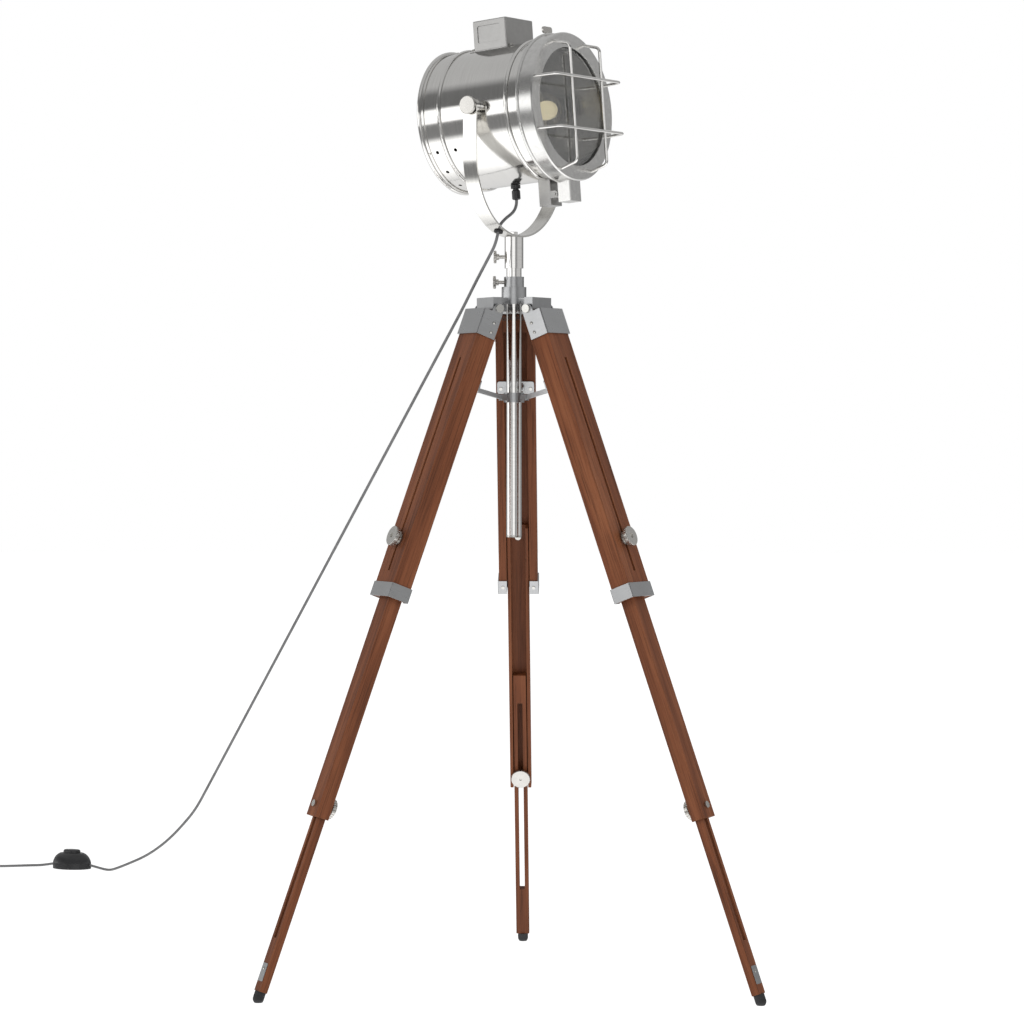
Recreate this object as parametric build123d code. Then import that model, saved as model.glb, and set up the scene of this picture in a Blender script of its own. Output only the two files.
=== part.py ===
"""Searchlight floor lamp on a folding wooden tripod, as an assembly of separate pieces.

Units are millimetres. +Z is up and the floor is Z = 0. The origin is the middle of the tripod's footprint.
The column stands at COLUMN, the rear leg points along +Y, and the front legs point to -X -Y and +X -Y.
"""

from build123d import *
import math
import os

# ---- driving dimensions: tripod -------------------------------------------------------------
COLUMN = Vector(0, -116, 0)  # the column's axis on the floor
LEG_AZIMUTHS = {1: 90.0, 2: 210.0, 3: 330.0}
HINGE_R = 46.0  # column axis to a leg's hinge pin
HINGE_Z = 1110.0
FOOT_R = 465.0  # column axis to a foot
SPREAD = math.degrees(math.atan2(FOOT_R - HINGE_R, HINGE_Z))  # a leg's lean from the vertical
LEG_LENGTH = math.hypot(FOOT_R - HINGE_R, HINGE_Z)

# A leg is drawn hanging straight down from its hinge pin: X outward, Y across, Z up.
RAIL_W, RAIL_TOP, RAIL_BOTTOM = 66.0, -14.0, -507.0
RAIL_IN, RAIL_OUT = -12.0, 22.0  # inner and outer faces of the upper section, along X
CHANNEL_W = 39.0
WEB = 8.0
SLOT_W = 6.6
RAIL_SLOT = (-464.0, -93.0)
MID_W, MID_TOP, MID_BOTTOM = 36.6, -388.0, -878.0
MID_IN, MID_OUT = -10.5, 13.5
MID_RECESS_W = 25.6
BAR_W, BAR_TOP, BAR_BOTTOM = 23.0, -664.0, -1168.0
BAR_IN, BAR_OUT = -8.5, 5.0
BAR_SLOT_W = 9.0
BAR_SLOT = (-1080.0, -717.0)
UPPER_KNOB_Z, LOWER_KNOB_Z = -409.0, -858.0
WOOD_EDGE = 1.2
PLATE = 3.0  # shoe plate thickness
STRAP = 2.0  # band thickness
PIN_R = 4.0
STUD_R = 3.0
KNOB_R = 16.5
BOOT_R = 9.0
BRACKET_Z = -133.6  # the stay's pin, below the hinge
BRACKET_PIN_X = -18.0

# ---- driving dimensions: column and yoke ----------------------------------------------------
MAST_R, MAST_BORE = 12.5, 11.0
MAST_BOTTOM, MAST_TOP = 737.0, 1222.0
RUNNING = 0.1  # radial clearance of sliding tubes
SLEEVE_R, SLEEVE_BOTTOM, SLEEVE_TOP = 15.5, 1178.0, 1230.2
COLLAR_R, COLLAR_TOP = 16.5, 1164.0
BOSS_R, BOSS_TOP = 20.5, 1147.0
PLATE_TOP, PLATE_BOTTOM = 1129.0, 1119.0
KNUCKLE_HALF = 29.5
STAY_PIN_R, STAY_PIN_Z = 22.0, 964.6
YOKE_R, YOKE_T, YOKE_W = 130.0, 3.0, 26.0
YOKE_BOTTOM = 1229.0
GROMMET_D = 46.0  # column axis to the grommet, along the yoke

# ---- driving dimensions: head ---------------------------------------------------------------
PIVOT_Z = 1438.0
HEAD_DROP = 7.0  # the drum's axis is this far below the pivot
HEAD_AZIMUTH = -31.6
HEAD_TILT = 4.5
DRUM_R, SHEET = 115.0, 1.5
DRUM_BACK, DRUM_FRONT = -108.0, 100.0
CAP_R, CAP_BACK, CAP_FRONT = 120.0, -115.0, -102.0
RING_R, RING_BACK, RING_FRONT = 122.0, 84.0, 115.0
LENS_OPENING_R = 97.5
GUARD_WIRE_R = 2.5
GUARD_HALF = 96.0
DOOR_PIN_X, DOOR_PIN_Z = 79.0, -141.0
LATCH_X, LATCH_TOP = 75.0, 121.5
VENT_X = (-44.0, 22.0)
BEADS, BEAD_R = (-72.0, 60.0), 4.0
RELIEF_X = -6.6
CORD_R = 2.5


# ---- small helpers --------------------------------------------------------------------------
def block(x, y, z):
    """A box from ranges (low, high) along each axis."""
    size = [high - low for low, high in (x, y, z)]
    centre = [(high + low) / 2 for low, high in (x, y, z)]
    return Pos(*centre) * Box(*size)


def soft_block(x, y, z, edge, axis=Axis.Z):
    """A box whose edges along one axis are rounded."""
    made = block(x, y, z)
    return fillet(made.edges().filter_by(axis), edge)


def rod(start, end, radius):
    """A cylinder between two points."""
    a, b = Vector(start), Vector(end)
    plane = Plane(origin=a, z_dir=b - a)
    return extrude(plane * Circle(radius), (b - a).length)


def turned(points, axis=Axis.X):
    """A solid of revolution about X from (x, radius) points."""
    profile = make_face(Polyline(*[(x, 0, r) for x, r in points], close=True))
    return revolve(profile, axis)


def knurled(radius, length, teeth=24, depth=0.8):
    """A knob's disc along +X from x = 0, with notches round its edge."""
    disc = rod((0, 0, 0), (length, 0, 0), radius)
    disc = chamfer(disc.edges().filter_by(GeomType.CIRCLE), 0.8)
    for i in range(teeth):
        turn = math.radians(360 * i / teeth)
        y, z = radius * math.cos(turn), radius * math.sin(turn)
        disc -= rod((-1, y, z), (length + 1, y, z), depth)
    return disc


PARTS = {}


def keep(name, shape):
    """Adds one or more solids to the node called name."""
    PARTS.setdefault(name, []).extend(shape.solids())


# ---- one leg --------------------------------------------------------------------------------
def leg_place(number):
    """Where a leg drawn hanging from its hinge pin goes."""
    out = Pos(COLUMN.X, COLUMN.Y, 0) * Rot(0, 0, LEG_AZIMUTHS[number])
    return out * Pos(HINGE_R, 0, HINGE_Z) * Rot(0, -SPREAD, 0)


def rail():
    """Upper wooden section: a channel open towards the column, with a slot in its outer wall."""
    half = RAIL_W / 2
    made = soft_block((RAIL_IN, RAIL_OUT), (-half, half), (RAIL_BOTTOM, RAIL_TOP), WOOD_EDGE)
    channel = block((RAIL_IN - 1, RAIL_OUT - WEB), (-CHANNEL_W / 2, CHANNEL_W / 2), (RAIL_BOTTOM - 1, RAIL_TOP - 20))
    slot = block((0, RAIL_OUT + 1), (-SLOT_W / 2, SLOT_W / 2), RAIL_SLOT)
    return made - channel - slot


def middle():
    """Middle wooden section, which slides in the upper one and carries both knobs' studs."""
    half = MID_W / 2
    made = soft_block((MID_IN, MID_OUT), (-half, half), (MID_BOTTOM, MID_TOP), WOOD_EDGE)
    recess = block(
        (MID_IN - 1, MID_OUT - WEB), (-MID_RECESS_W / 2, MID_RECESS_W / 2), (MID_BOTTOM - 1, MID_TOP + 1)
    )
    made -= recess
    for z in (UPPER_KNOB_Z, LOWER_KNOB_Z):
        made -= rod((0, 0, z), (MID_OUT + 1, 0, z), STUD_R + RUNNING)
    return made


def bar():
    """Lower wooden section: a flat bar with a through slot for the lower knob's stud."""
    half = BAR_W / 2
    made = soft_block((BAR_IN, BAR_OUT), (-half, half), (BAR_BOTTOM, BAR_TOP), WOOD_EDGE)
    slot = block((BAR_IN - 1, BAR_OUT + 1), (-BAR_SLOT_W / 2, BAR_SLOT_W / 2), BAR_SLOT)
    return made - slot


def boot():
    """Rubber boot on the bar's end. Its tip is cut level with the floor when the leg leans."""
    centre_x = (BAR_IN + BAR_OUT) / 2
    tip = -LEG_LENGTH + 7.5
    cup = rod((centre_x, 0, tip), (centre_x, 0, BAR_BOTTOM), BOOT_R)
    ball = Pos(centre_x, 0, tip) * Sphere(BOOT_R)
    return cup + ball


def shoe():
    """Metal shoe over the top of the upper section, with two lugs up to the hinge pin."""
    half = RAIL_W / 2 + PLATE
    outer = block((RAIL_IN + 3, RAIL_OUT + PLATE), (-half, half), (-52, -8))
    inner = block((RAIL_IN, RAIL_OUT), (-RAIL_W / 2, RAIL_W / 2), (-53, -7))
    made = fillet(outer.edges().filter_by(Axis.Z).group_by(Axis.X)[-1], 2.0) - inner
    for side in (-1, 1):
        face = Plane(origin=(0, side * RAIL_W / 2, 0), x_dir=(1, 0, 0), z_dir=(0, side, 0))
        flip = -1 if side > 0 else 1
        lug = make_hull([*Circle(8.5).edges(), *(Pos(2, flip * -24) * Rectangle(22, 8)).edges()])
        made += extrude(face * lug, PLATE)
        made -= rod((0, side * (half + 1), 0), (0, side * (half - PLATE - 1), 0), PIN_R + RUNNING)
    return made


def band():
    """Metal band round the foot of the upper section, with a return on each rail's inner face."""
    half = RAIL_W / 2 + STRAP
    z = (RAIL_BOTTOM - 1, RAIL_BOTTOM + 23)
    outer = soft_block((RAIL_IN - STRAP, RAIL_OUT + STRAP), (-half, half), z, 1.5)
    wood = block((RAIL_IN, RAIL_OUT), (-RAIL_W / 2, RAIL_W / 2), (z[0] - 1, z[1] + 1))
    gap = block((RAIL_IN - 5, 0), (-CHANNEL_W / 2, CHANNEL_W / 2), (z[0] - 1, z[1] + 1))
    return outer - wood - gap


def stay_bracket():
    """Frame across the channel's mouth with two ears that hold the stay's outer end."""
    z0 = BRACKET_Z
    face = (RAIL_IN - 2.5, RAIL_IN)
    frame = soft_block(face, (-31, 31), (z0 - 9, z0 + 13), 4.0, Axis.X)
    frame -= block((RAIL_IN - 4, RAIL_IN + 1), (-12, 12), (z0 - 6.5, z0 + 10.5))
    made = frame
    for side in (-1, 1):
        ear = block((BRACKET_PIN_X - 5, RAIL_IN - 2.5), sorted((side * 12, side * 14.5)), (z0 - 5.5, z0 + 5.5))
        stub = rod((BRACKET_PIN_X, side * 12, z0), (BRACKET_PIN_X, side * 3.6, z0), 2.5)
        made += ear + stub
    return made


def leg_fasteners():
    """Hinge pin, shoe rivets, bracket screws and band screws of one leg."""
    half = RAIL_W / 2 + PLATE
    pin = rod((0, -half, 0), (0, half, 0), PIN_R)
    heads = [rod((0, side * half, 0), (0, side * (half + 3), 0), 7.0) for side in (-1, 1)]
    made = [pin + heads[0] + heads[1]]
    for side in (-1, 1):
        for z in (-26, -42):
            made.append(Pos(1, side * half, z) * (Sphere(2.6) & block((-3, 3), sorted((0, side * 3)), (-3, 3))))
        rail_centre = side * (RAIL_W + CHANNEL_W) / 4
        screw_z = RAIL_BOTTOM + 11
        screw = rod((RAIL_IN - STRAP - 1.2, rail_centre, screw_z), (RAIL_IN - STRAP, rail_centre, screw_z), 3.0)
        made.append(screw)
        tack = rod((RAIL_IN - 3.7, side * 25, BRACKET_Z), (RAIL_IN - 2.5, side * 25, BRACKET_Z), 3.0)
        made.append(tack)
    return made


def upper_knob():
    """Outer thumb knob: its stud goes through both sections' webs to a slotted head inside."""
    z = UPPER_KNOB_Z
    washer = rod((RAIL_OUT + 0.3, 0, z), (RAIL_OUT + 2, 0, z), 11.0)
    neck = rod((RAIL_OUT + 2, 0, z), (RAIL_OUT + 8, 0, z), 8.0)
    disc = Pos(RAIL_OUT + 8, 0, z) * knurled(KNOB_R, 7.0)
    stud = rod((MID_OUT - WEB - 1, 0, z), (RAIL_OUT + 2, 0, z), STUD_R)
    head = rod((MID_OUT - WEB - 3.5, 0, z), (MID_OUT - WEB - 0.3, 0, z), 5.5)
    groove = block((MID_OUT - WEB - 4, MID_OUT - WEB - 2.5), (-6, 6), (z - 0.7, z + 0.7))
    dimple = rod((RAIL_OUT + 13, 0, z), (RAIL_OUT + 16, 0, z), 4.0)
    return washer + neck + disc + stud + head - groove - dimple


def lower_knob():
    """Inner thumb knob: its stud goes through the bar's slot and the middle section's web."""
    z = LOWER_KNOB_Z
    washer = rod((BAR_IN - 2, 0, z), (BAR_IN - 0.3, 0, z), 11.0)
    neck = rod((BAR_IN - 4, 0, z), (BAR_IN - 2, 0, z), 8.0)
    disc = Pos(BAR_IN - 11, 0, z) * knurled(KNOB_R, 7.0)
    stud = rod((BAR_IN - 4, 0, z), (MID_OUT + 3, 0, z), STUD_R)
    head = rod((MID_OUT + 0.3, 0, z), (MID_OUT + 3.5, 0, z), 5.5)
    dimple = rod((BAR_IN - 12, 0, z), (BAR_IN - 9.5, 0, z), 2.2)
    return washer + neck + disc + stud + head - dimple


def add_leg(number):
    place = leg_place(number)
    floor = block((-1000, 1000), (-1000, 1000), (-50, 0))
    keep(f"leg_{number}_rail", place * rail())
    keep(f"leg_{number}_middle", place * middle())
    keep(f"leg_{number}_bar", place * bar())
    keep(f"leg_{number}_foot", place * boot() - floor)
    for metal in (shoe(), band(), stay_bracket()):
        keep(f"leg_{number}_metalwork", place * metal)
    for fastener in leg_fasteners():
        keep(f"leg_{number}_fasteners", place * fastener)
    keep(f"leg_{number}_upper_knob", place * upper_knob())
    keep(f"leg_{number}_lower_knob", place * lower_knob())


# ---- column ---------------------------------------------------------------------------------
def on_column(shape):
    return Pos(COLUMN.X, COLUMN.Y, 0) * shape


def hub():
    """Tripod head: a bored boss and collar, and three arms with knuckles for the hinge pins."""
    made = rod((0, 0, PLATE_BOTTOM), (0, 0, BOSS_TOP), BOSS_R)
    made += rod((0, 0, BOSS_TOP), (0, 0, COLLAR_TOP), COLLAR_R)
    for azimuth in LEG_AZIMUTHS.values():
        arm = block((0, HINGE_R), (-12, 12), (PLATE_BOTTOM, PLATE_TOP))
        barrel = rod((HINGE_R, -KNUCKLE_HALF, HINGE_Z), (HINGE_R, KNUCKLE_HALF, HINGE_Z), 8.0)
        head = block((HINGE_R - 8, HINGE_R + 8), (-KNUCKLE_HALF, KNUCKLE_HALF), (HINGE_Z, PLATE_TOP))
        pin = rod((HINGE_R, -40, HINGE_Z), (HINGE_R, 40, HINGE_Z), PIN_R + RUNNING / 2)
        made += Rot(0, 0, azimuth) * (arm + barrel + head)
        made -= Rot(0, 0, azimuth) * pin
    made -= rod((0, 0, PLATE_BOTTOM - 20), (0, 0, COLLAR_TOP + 1), MAST_R + RUNNING)
    return made - rod((0, 0, 1155), (-COLLAR_R - 2, 0, 1155), STUD_R)


def clamp_screw(z, seat_r):
    """Thumb screw pointing to -X: a stud, a neck and a notched disc."""
    stud = rod((-MAST_R - 0.4, 0, z), (-seat_r - 10, 0, z), STUD_R - 0.1)
    neck = rod((-seat_r - 9, 0, z), (-seat_r - 14, 0, z), 5.0)
    disc = Pos(-seat_r - 18, 0, z) * knurled(10.5, 4.5, teeth=18, depth=0.6)
    return stud + neck + disc


def mast():
    """Column tube, which slides in the hub."""
    tube = rod((0, 0, MAST_BOTTOM), (0, 0, MAST_TOP), MAST_R)
    return tube - rod((0, 0, MAST_BOTTOM - 1), (0, 0, MAST_TOP + 1), MAST_BORE)


def mast_plug():
    """Turned plug that closes the tube's lower end."""
    flange = rod((0, 0, MAST_BOTTOM - 3), (0, 0, MAST_BOTTOM), MAST_R)
    return flange + rod((0, 0, MAST_BOTTOM), (0, 0, MAST_BOTTOM + 14), MAST_BORE)


def sleeve():
    """Closed sleeve over the tube's top, which carries the yoke."""
    made = rod((0, 0, SLEEVE_BOTTOM), (0, 0, SLEEVE_TOP), SLEEVE_R)
    made -= rod((0, 0, SLEEVE_BOTTOM - 1), (0, 0, MAST_TOP + 0.5), MAST_R + RUNNING)
    made -= rod((0, 0, 1197), (-SLEEVE_R - 2, 0, 1197), STUD_R)
    centre = YOKE_BOTTOM + YOKE_R
    made -= Rot(0, 0, HEAD_AZIMUTH) * rod((-30, 0, centre), (30, 0, centre), YOKE_R)
    return made - rod((0, 0, MAST_TOP), (0, 0, SLEEVE_TOP + 1), 4.1)


def stay_collar():
    """Ring that rides on the tube, with three pairs of ears for the stays' inner pins."""
    made = rod((0, 0, STAY_PIN_Z - 8), (0, 0, STAY_PIN_Z + 8), 17.0)
    for azimuth in LEG_AZIMUTHS.values():
        for side in (-1, 1):
            ear = block((12, STAY_PIN_R + 3.5), sorted((side * 3.4, side * 5.6)), (STAY_PIN_Z - 5, STAY_PIN_Z + 5))
            made += Rot(0, 0, azimuth) * ear
        pin = rod((STAY_PIN_R, -5.6, STAY_PIN_Z), (STAY_PIN_R, 5.6, STAY_PIN_Z), 2.0)
        made += Rot(0, 0, azimuth) * pin
        mouth = block((15.5, 18), (-3.4, 3.4), (STAY_PIN_Z - 9, STAY_PIN_Z + 9))
        made -= Rot(0, 0, azimuth) * mouth
    return made - rod((0, 0, STAY_PIN_Z - 9), (0, 0, STAY_PIN_Z + 9), MAST_R + RUNNING)


def stay_ends():
    """(inner pin, outer pin) of a stay as (radius, height) about the column."""
    lean = math.radians(SPREAD)
    radius = HINGE_R + BRACKET_PIN_X * math.cos(lean) - BRACKET_Z * math.sin(lean)
    height = HINGE_Z + BRACKET_PIN_X * math.sin(lean) + BRACKET_Z * math.cos(lean)
    return (STAY_PIN_R, STAY_PIN_Z), (radius, height)


def stay():
    """Flat link from the collar to a leg's bracket, drawn in the XZ plane."""
    (r0, z0), (r1, z1) = stay_ends()
    length = math.hypot(r1 - r0, z1 - z0)
    rise = math.degrees(math.atan2(z1 - z0, r1 - r0))
    link = block((0, length), (-3, 3), (-3.6, 3.6))
    link += rod((0, -3, 0), (0, 3, 0), 4.2) + rod((length, -3, 0), (length, 3, 0), 4.2)
    link -= rod((0, -4, 0), (0, 4, 0), 2.1)
    return Pos(r0, 0, z0) * Rot(0, -rise, 0) * link


def add_column():
    keep("hub", on_column(hub()))
    keep("mast", on_column(mast()))
    keep("mast_plug", on_column(mast_plug()))
    keep("hub_clamp_screw", on_column(clamp_screw(1155, COLLAR_R)))
    keep("sleeve", on_column(sleeve()))
    keep("sleeve_clamp_screw", on_column(clamp_screw(1197, SLEEVE_R)))
    keep("stay_collar", on_column(stay_collar()))
    for number, azimuth in LEG_AZIMUTHS.items():
        keep(f"stay_{number}", on_column(Rot(0, 0, azimuth) * stay()))


# ---- yoke -----------------------------------------------------------------------------------
def yoke_place():
    """The yoke is drawn with the head's axis along X and its arms at +Y and -Y."""
    return Pos(COLUMN.X, COLUMN.Y, 0) * Rot(0, 0, HEAD_AZIMUTH)


def yoke():
    """U-shaped strap with a half-round bottom and a round end at each arm's pivot."""
    centre = YOKE_BOTTOM + YOKE_R
    front = Plane(origin=(0, 0, centre), x_dir=(0, 1, 0), z_dir=(1, 0, 0))
    outer, inner = YOKE_R, YOKE_R - YOKE_T
    ring = front * (Circle(outer) - Circle(inner))
    lower = front * (Pos(0, -YOKE_R / 2 - 1) * Rectangle(2 * YOKE_R + 4, YOKE_R + 2))
    bottom = extrude(ring & lower, YOKE_W / 2, both=True)
    made = bottom
    half = YOKE_W / 2
    for side in (-1, 1):
        y = sorted((side * inner, side * outer))
        made += block((-half, half), y, (centre - 0.01, PIVOT_Z))
        made += rod((0, side * inner, PIVOT_Z), (0, side * outer, PIVOT_Z), half)
        made -= rod((0, side * (inner - 1), PIVOT_Z), (0, side * (outer + 1), PIVOT_Z), 4.2)
    made -= rod((0, 0, YOKE_BOTTOM - 1), (0, 0, YOKE_BOTTOM + 5), 4.1)
    top, low = grommet_axis(8)
    return made - rod(top, low, 5.1)


def grommet_axis(reach):
    """Two points on the grommet's axis, above and below the yoke's strap."""
    angle = math.asin(GROMMET_D / YOKE_R)
    centre = YOKE_BOTTOM + YOKE_R
    radii = (YOKE_R - YOKE_T / 2 - reach, YOKE_R - YOKE_T / 2 + reach)
    return [(0, -r * math.sin(angle), centre - r * math.cos(angle)) for r in radii]


def grommet():
    """Rubber bush in the yoke's cable hole, with a lip on each side."""
    core = rod(*grommet_axis(3.5), 5.0)
    lips = rod(*grommet_axis(3.5), 7.5) - rod(*grommet_axis(1.55), 8.0)
    return core + lips - rod(*grommet_axis(9), CORD_R + 1.0)


def yoke_bolt():
    """Bolt that holds the yoke on the sleeve, with its washer."""
    top = YOKE_BOTTOM + YOKE_T
    shank = rod((0, 0, MAST_TOP + 0.8), (0, 0, top + 2), 4.0)
    washer = rod((0, 0, top + 0.1), (0, 0, top + 1.6), 9.0)
    head = extrude(Pos(0, 0, top + 1.6) * RegularPolygon(7.0, 6), 5.0)
    return shank + washer + fillet(head.edges().group_by(Axis.Z)[-1], 1.0)


def tilt_knob(side):
    """Clamp knob outside one yoke arm: a round disc on a neck and a stud into the drum's boss."""
    y = YOKE_R + 0.4
    neck = rod((0, 0, 0), (3, 0, 0), 9.0)
    disc = Pos(3, 0, 0) * fillet(rod((0, 0, 0), (5, 0, 0), 15.0).edges().filter_by(GeomType.CIRCLE), 1.2)
    stud = rod((-9, 0, 0), (1, 0, 0), 3.9)
    return Pos(0, side * y, PIVOT_Z) * Rot(0, 0, side * 90) * (neck + disc + stud)


def add_yoke():
    place = yoke_place()
    keep("yoke", place * yoke())
    keep("grommet", place * (grommet() - yoke()))
    keep("yoke_bolt", place * (yoke_bolt() - yoke()))
    keep("near_tilt_knob", place * tilt_knob(-1))
    keep("far_tilt_knob", place * tilt_knob(1))


# ---- head -----------------------------------------------------------------------------------
def head_place():
    """The head is drawn about its drum's axis: X forward, Y along the pivot, Z up."""
    return yoke_place() * Pos(0, 0, PIVOT_Z) * Rot(0, -HEAD_TILT, 0) * Pos(0, 0, -HEAD_DROP)


def bead(x, radius, size):
    """Raised half-round rib round the drum."""
    return Pos(x, 0, 0) * Rot(0, 90, 0) * Torus(radius, size)


def drum_shell():
    """Sheet drum with two pressed beads, vent holes low at the back and a slot under the vent box."""
    outside = rod((DRUM_BACK, 0, 0), (DRUM_FRONT, 0, 0), DRUM_R)
    for x in BEADS:
        outside += bead(x, DRUM_R - 0.6, BEAD_R)
    inside = rod((DRUM_BACK - 1, 0, 0), (DRUM_FRONT + 1, 0, 0), DRUM_R - SHEET)
    made = outside - inside
    for x in (-90.0, -54.0):
        for angle in range(30, 151, 20):
            turn = math.radians(angle)
            y, z = math.cos(turn), -math.sin(turn)
            made -= rod((x, y * 100, z * 100), (x, y * 125, z * 125), 3.0)
    made -= block((VENT_X[0] + 7, VENT_X[1] - 7), (-30, 30), (60, 130))
    for side in (-1, 1):
        made -= rod((0, side * 100, HEAD_DROP), (0, side * 120, HEAD_DROP), 6.0)
    nut = block((LATCH_X - 5.5, LATCH_X + 5.5), (-7, 7), (DRUM_R - 1.5, LATCH_TOP))
    made += nut - rod((LATCH_X, 0, LATCH_TOP - 5.5), (LATCH_X, 0, LATCH_TOP + 1), STUD_R)
    return made - rod((RELIEF_X, 0, -100), (RELIEF_X, 0, -125), 5.1)


def rear_cap():
    """Pressed rear cap: a skirt over the drum, a rolled rim and a shallow dome."""
    t = SHEET
    skirt = rod((CAP_BACK + 4, 0, 0), (CAP_FRONT, 0, 0), DRUM_R + 0.2 + t)
    skirt -= rod((CAP_BACK, 0, 0), (CAP_FRONT + 1, 0, 0), DRUM_R + 0.2)
    rim = bead(CAP_BACK + 5, CAP_R - 4, 4.0)
    plate = turned([(-111, 0), (-111, 116), (-112.5, 116), (-114, 100), (-118, 60), (-120, 0)])
    hole = rod((-125, 0, 0), (-100, 0, 0), 8.0)
    return skirt + rim + plate - rod((DRUM_BACK - 2.5, 0, 0), (-99, 0, 0), DRUM_R + 0.2) - hole


def vent_box():
    """Open-bottomed vent hood on top of the drum, with a pressed window in each side."""
    x, y, z = VENT_X, (-41.0, 41.0), (99.0, 158.0)
    outer = soft_block(x, y, z, 3.0)
    outer = fillet(outer.edges().group_by(Axis.Z)[-1], 1.5)
    wall = 2.2
    inner = block((x[0] + wall, x[1] - wall), (y[0] + wall, y[1] - wall), (z[0] - 1, z[1] - wall))
    made = outer - inner
    for side in (-1, 1):
        face = side * y[1]
        window = soft_block((x[0] + 9, x[1] - 12), sorted((face - side * 1.3, face + side)), (z[0] + 22, z[1] - 9), 3, Axis.Y)
        made -= window
    flange = block((x[0] - 8, x[1] + 8), (y[0] - 1, y[1] + 1), (100, 118)) & rod((-70, 0, 0), (20, 0, 0), DRUM_R + 1.5)
    flange -= block((x[0] + SHEET, x[1] - SHEET), (y[0] + SHEET, y[1] - SHEET), (90, 125))
    return made + flange - rod((-80, 0, 0), (30, 0, 0), DRUM_R + 0.1)


def head_screws():
    """Small screws: four on the vent box's flange and three on the rear cap's skirt."""
    made = []
    for x in (VENT_X[0] - 4, VENT_X[1] + 4):
        for side in (-1, 1):
            angle = math.asin(side * 34 / (DRUM_R + 1.5))
            y, z = math.sin(angle), math.cos(angle)
            low, high = DRUM_R + 1.5, DRUM_R + 3.7
            made.append(rod((x, y * low, z * low), (x, y * high, z * high), 3.2))
    for angle in (90, 210, 330):
        turn = math.radians(angle)
        y, z = math.cos(turn), math.sin(turn)
        low, high = DRUM_R + SHEET + 0.2, DRUM_R + SHEET + 2.2
        made.append(rod((-104.0, y * low, z * low), (-104.0, y * high, z * high), 1.6))
    return made


def pivot_bosses():
    """Threaded boss on each side of the drum, where the tilt knobs' studs go in."""
    made = []
    for side in (-1, 1):
        inner, outer = side * (DRUM_R - 8), side * (YOKE_R - YOKE_T - 0.3)
        boss = rod((0, inner, 0), (0, outer, 0), 6.0) + rod((0, side * (DRUM_R + 0.3), 0), (0, outer, 0), 11.0)
        made.append(Pos(0, 0, HEAD_DROP) * (boss - rod((0, inner, 0), (0, outer + side, 0), 4.0)))
    return made


def door_ring():
    """Front door: a collar over the drum's mouth with a flat face round the lens, and its hinge leaf."""
    collar = turned(
        [(RING_BACK, RING_R - 1.5), (RING_BACK, RING_R), (RING_FRONT - 2, RING_R), (RING_FRONT, RING_R - 2)]
        + [(RING_FRONT, LENS_OPENING_R), (RING_FRONT - 2, LENS_OPENING_R), (RING_FRONT - 2, RING_R - 1.5)]
    )
    made = collar + bead(RING_BACK + 3, RING_R - 0.5, 3.0) - rod((80, 0, 0), (100, 0, 0), RING_R - 1.5)
    leaf = soft_block((DOOR_PIN_X + 6, 110), (-16.5, 16.5), (-155, -117), 2.0)
    leaf -= rod((70, 0, 0), (130, 0, 0), RING_R - 0.5)
    knuckle = rod((DOOR_PIN_X, -8, DOOR_PIN_Z), (DOOR_PIN_X, 8, DOOR_PIN_Z), 6.0)
    knuckle += block((DOOR_PIN_X, DOOR_PIN_X + 8), (-8, 8), (DOOR_PIN_Z - 6, DOOR_PIN_Z + 6))
    return made + leaf + knuckle - rod((DOOR_PIN_X, -20, DOOR_PIN_Z), (DOOR_PIN_X, 20, DOOR_PIN_Z), 2.6)


def hinge_base():
    """Fixed half of the door hinge under the drum, with two knuckles and the pin."""
    made = soft_block((48, DOOR_PIN_X - 7), (-16.5, 16.5), (-158, -100), 2.0)
    for side in (-1, 1):
        y = sorted((side * 8.3, side * 16.5))
        made += block((DOOR_PIN_X - 8, DOOR_PIN_X), y, (DOOR_PIN_Z - 6, DOOR_PIN_Z + 6))
        made += rod((DOOR_PIN_X, y[0], DOOR_PIN_Z), (DOOR_PIN_X, y[1], DOOR_PIN_Z), 6.0)
    made += rod((DOOR_PIN_X, -18, DOOR_PIN_Z), (DOOR_PIN_X, 18, DOOR_PIN_Z), 2.5)
    return made - rod((40, 0, 0), (90, 0, 0), DRUM_R) - bead(BEADS[1], DRUM_R - 0.6, BEAD_R)


def latch_screw():
    """Wing screw in the drum's nut block. Tightened, it holds the door's collar shut."""
    z = LATCH_TOP + 0.3
    foot = rod((LATCH_X, 0, z), (LATCH_X, 0, z + 3), 5.5)
    stem = rod((LATCH_X, 0, z - 5), (LATCH_X, 0, z + 6), 2.9)
    wing = soft_block((LATCH_X - 1.5, LATCH_X + 1.5), (-13.5, 13.5), (z + 4, z + 15), 4.5, Axis.X)
    return foot + stem + wing


def lens():
    """Flat clear front glass, behind the door's face."""
    return rod((RING_FRONT - 5, 0, 0), (RING_FRONT - 2, 0, 0), 118.0)


def guard_wire(across, reach, forward):
    """Staple-shaped wire that stands in front of the lens, drawn in the XZ plane."""
    foot = RING_FRONT - 2
    corners = [(foot, across, reach + 9), (forward, across, reach), (forward, across, -reach)]
    path = FilletPolyline(*corners, (foot, across, -reach - 9), radius=9.0)
    start = Plane(origin=path @ 0, z_dir=path % 0)
    return sweep(start * Circle(GUARD_WIRE_R), path=path)


def lens_guard():
    """Two upright wires and two level wires welded in front of them, with a foot at each end."""
    made = None
    for offset in (-45.0, 45.0):
        upright = guard_wire(offset, GUARD_HALF, 145.5)
        level = Rot(90, 0, 0) * guard_wire(offset * 0.945, GUARD_HALF, 150.0)
        made = upright + level if made is None else made + upright + level
    return made - block((RING_FRONT - 10, RING_FRONT), (-130, 130), (-130, 130))


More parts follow.
